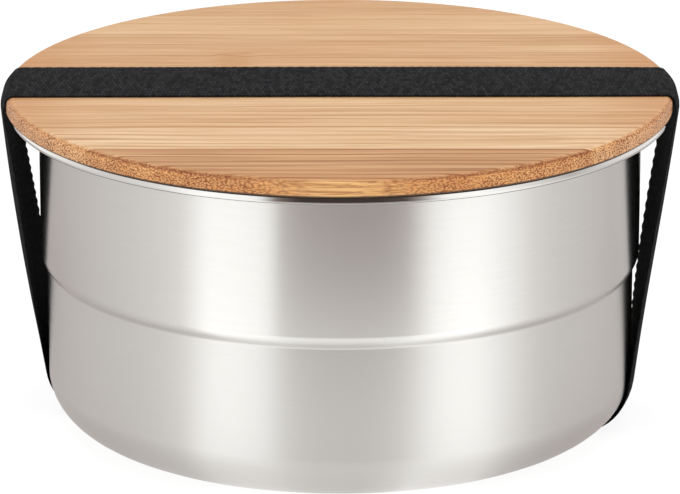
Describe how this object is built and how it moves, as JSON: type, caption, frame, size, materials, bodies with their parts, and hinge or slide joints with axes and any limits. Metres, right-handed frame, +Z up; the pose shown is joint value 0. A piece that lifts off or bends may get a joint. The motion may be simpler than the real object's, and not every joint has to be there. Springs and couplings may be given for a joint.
{
  "type": "salad lunch box",
  "caption": "Round brushed-steel food box with a stepped wall, a bamboo plug lid with a seal, and a wide elastic band that holds the lid on.",
  "frame": {"origin": "middle of the box on the surface it stands on, which is the underside of the band", "axes": "+Z up, +X along the band, -Y the front that the band is pulled off towards"},
  "size_m": [0.1826, 0.18, 0.0948],
  "materials": {
    "steel": "brushed round the wall",
    "bamboo": "sanded and oiled",
    "silicone": "matt",
    "elastic": "ribbed weave"
  },
  "bodies": {
    "bowl": {"bowl": "steel"},
    "lid": {"lid_slat_1": "bamboo", "lid_slat_2": "bamboo", "lid_slat_3": "bamboo", "lid_slat_4": "bamboo", "lid_slat_5": "bamboo", "lid_slat_6": "bamboo", "lid_slat_7": "bamboo", "lid_slat_8": "bamboo", "lid_slat_9": "bamboo", "lid_slat_10": "bamboo", "lid_seal": "silicone"},
    "band": {"band_left": "elastic", "band_right": "elastic"},
    "band_top": {"band_top": "elastic"}
  },
  "joints": [
    {"name": "lid_lift", "type": "slide", "parent": "bowl", "child": "lid", "axis": [0, 0, 1], "range_m": [0, 0.05]},
    {"name": "band_slip", "type": "slide", "parent": "bowl", "child": "band", "axis": [0, -1, 0], "range_m": [0, 0.12]},
    {"name": "band_stretch", "type": "slide", "parent": "band", "child": "band_top", "axis": [0, 0, 1], "range_m": [0, 0.05]}
  ],
  "couplings": [
    {"joint": "band_stretch", "follows": "lid_lift", "ratio": 1}
  ]
}
